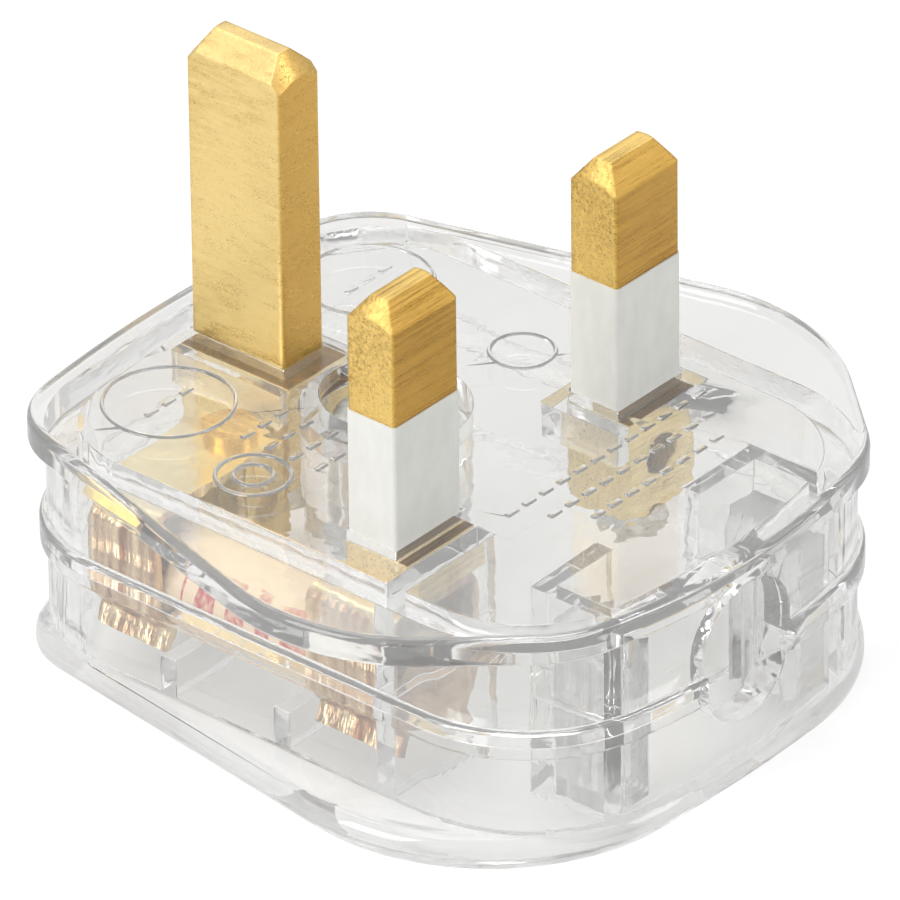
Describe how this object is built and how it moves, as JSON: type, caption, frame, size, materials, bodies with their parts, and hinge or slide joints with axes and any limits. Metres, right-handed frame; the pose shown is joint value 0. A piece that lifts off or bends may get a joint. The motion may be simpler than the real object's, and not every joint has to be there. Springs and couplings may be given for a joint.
{
  "type": "uk three pin plug",
  "caption": "Rewireable 13 A plug with a clear two part housing, solid brass pins, sleeved live and neutral pins, and a cartridge fuse seen inside.",
  "frame": {"origin": "on the resting plane, under the middle of the housing's outline, with the plug lying on its cover", "axes": "+Z along the pins, away from the face; +Y towards the earth pin, so the cord comes in at -Y; live and the fuse at -X, neutral at +X"},
  "size_m": [0.05, 0.0504, 0.0412],
  "materials": {
    "clear_plastic": "clear, polished",
    "clear_nylon": "clear, satin",
    "brass": "satin, drawn",
    "white_sleeve": "matte",
    "clip_copper": "bright",
    "fuse_cap": "plated",
    "ceramic": "unglazed",
    "sand": "grains",
    "screw_steel": "zinc plated"
  },
  "bodies": {
    "root": {"base": "clear_plastic", "cover": "clear_plastic", "cord_grip_left": "clear_nylon", "cord_grip_right": "clear_nylon", "earth_pin": "brass", "live_pin": "brass", "neutral_pin": "brass", "live_terminal": "brass", "clip_rivet": "brass", "cover_nut": "brass", "live_sleeve": "white_sleeve", "neutral_sleeve": "white_sleeve", "fuse_clip_front": "clip_copper", "fuse_clip_rear": "clip_copper", "fuse_element": "clip_copper", "fuse_cap_front": "fuse_cap", "fuse_cap_rear": "fuse_cap", "fuse_barrel": "ceramic", "fuse_filler": "sand", "earth_terminal_screw": "screw_steel", "neutral_terminal_screw": "screw_steel", "live_terminal_screw": "screw_steel", "cover_screw": "screw_steel"}
  },
  "joints": []
}
